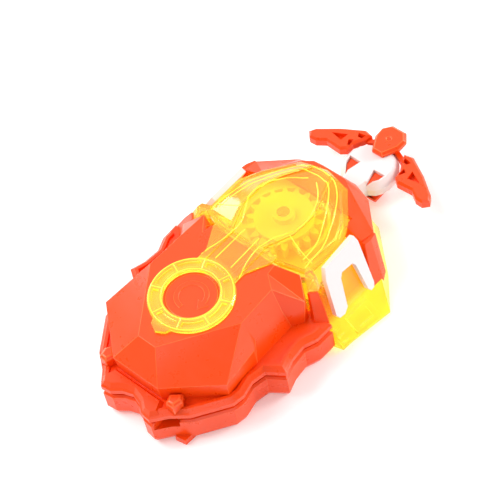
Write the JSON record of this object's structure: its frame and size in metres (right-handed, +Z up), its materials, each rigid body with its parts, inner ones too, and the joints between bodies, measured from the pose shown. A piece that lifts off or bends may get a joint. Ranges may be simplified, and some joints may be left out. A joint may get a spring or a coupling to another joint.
{
  "type": "string launcher for spinning tops",
  "caption": "Hand-held string launcher for spinning tops: gem-shaped hood on a scalloped flange, clear amber ring and spool window, clear skirt, side brackets and a winged pull handle.",
  "frame": {"origin": "on the launch axis, level with the surface that the launcher rests on", "axes": "+X to the right, +Y from the nose to the pull handle, +Z up out of the deck"},
  "size_m": [0.092, 0.1608, 0.0384],
  "materials": {
    "red_orange_abs": "moulded, satin gloss",
    "clear_amber": "clear tinted, polished",
    "clear_yellow": "clear tinted, polished",
    "white_abs": "moulded, satin gloss",
    "yellow_acetal": "moulded, fine satin",
    "natural_acetal": "moulded",
    "dark_nylon": "moulded",
    "steel": "zinc-plated",
    "spring_steel": "blued strip",
    "white_string": "braided cord"
  },
  "bodies": {
    "housing": {"lower_flange_case": "red_orange_abs", "upper_flange_case": "red_orange_abs", "front_hood": "red_orange_abs", "shoulder_clips": "red_orange_abs", "emblem_cap": "red_orange_abs", "ring_window_cover": "clear_amber", "rear_housing": "clear_yellow", "rear_rim": "red_orange_abs", "right_bracket": "white_abs", "left_bracket": "white_abs", "gear_chassis": "yellow_acetal", "spring_cup": "red_orange_abs", "spiral_spring": "spring_steel", "spool_pin": "steel", "idler_pin": "steel", "launch_bush": "natural_acetal", "string_outlet": "natural_acetal", "case_screws": "steel"},
    "handle": {"handle_hub": "white_abs", "eye_plate": "red_orange_abs", "grip_wings": "red_orange_abs", "grip_cap": "red_orange_abs", "pull_string": "white_string"},
    "spool": {"string_spool": "natural_acetal", "wound_string": "white_string", "spool_gear": "yellow_acetal"},
    "idler": {"idler_gear": "natural_acetal"},
    "launch": {"launch_pinion": "natural_acetal", "launch_shaft": "steel", "shaft_clip": "spring_steel", "hook_plate": "dark_nylon"},
    "lock": {"lock_pin": "natural_acetal", "lock_pin_spring": "spring_steel"}
  },
  "joints": [
    {"name": "handle_pull", "type": "slide", "parent": "housing", "child": "handle", "axis": [0, 1, 0], "range_m": [0, 0.45], "stiffness_N_per_m": 3, "springref_m": -0.3, "deforming": ["pull_string"]},
    {"name": "spool_spin", "type": "hinge", "parent": "housing", "child": "spool", "pos_m": [0, 0.051, 0], "axis": [0, 0, 1], "continuous": true},
    {"name": "idler_spin", "type": "hinge", "parent": "housing", "child": "idler", "pos_m": [0, 0.0225, 0], "axis": [0, 0, 1], "continuous": true},
    {"name": "launch_spin", "type": "hinge", "parent": "housing", "child": "launch", "pos_m": [0, 0, 0], "axis": [0, 0, 1], "continuous": true},
    {"name": "lock_pin_press", "type": "slide", "parent": "housing", "child": "lock", "axis": [0, 0, 1], "range_m": [0, 0.003], "stiffness_N_per_m": 150, "springref_m": -0.002, "deforming": ["lock_pin_spring"]}
  ],
  "couplings": [
    {"joint": "spool_spin", "follows": "handle_pull", "rad_per_m": -98.039},
    {"joint": "idler_spin", "follows": "handle_pull", "rad_per_m": 88.235},
    {"joint": "launch_spin", "follows": "handle_pull", "rad_per_m": -176.47}
  ]
}
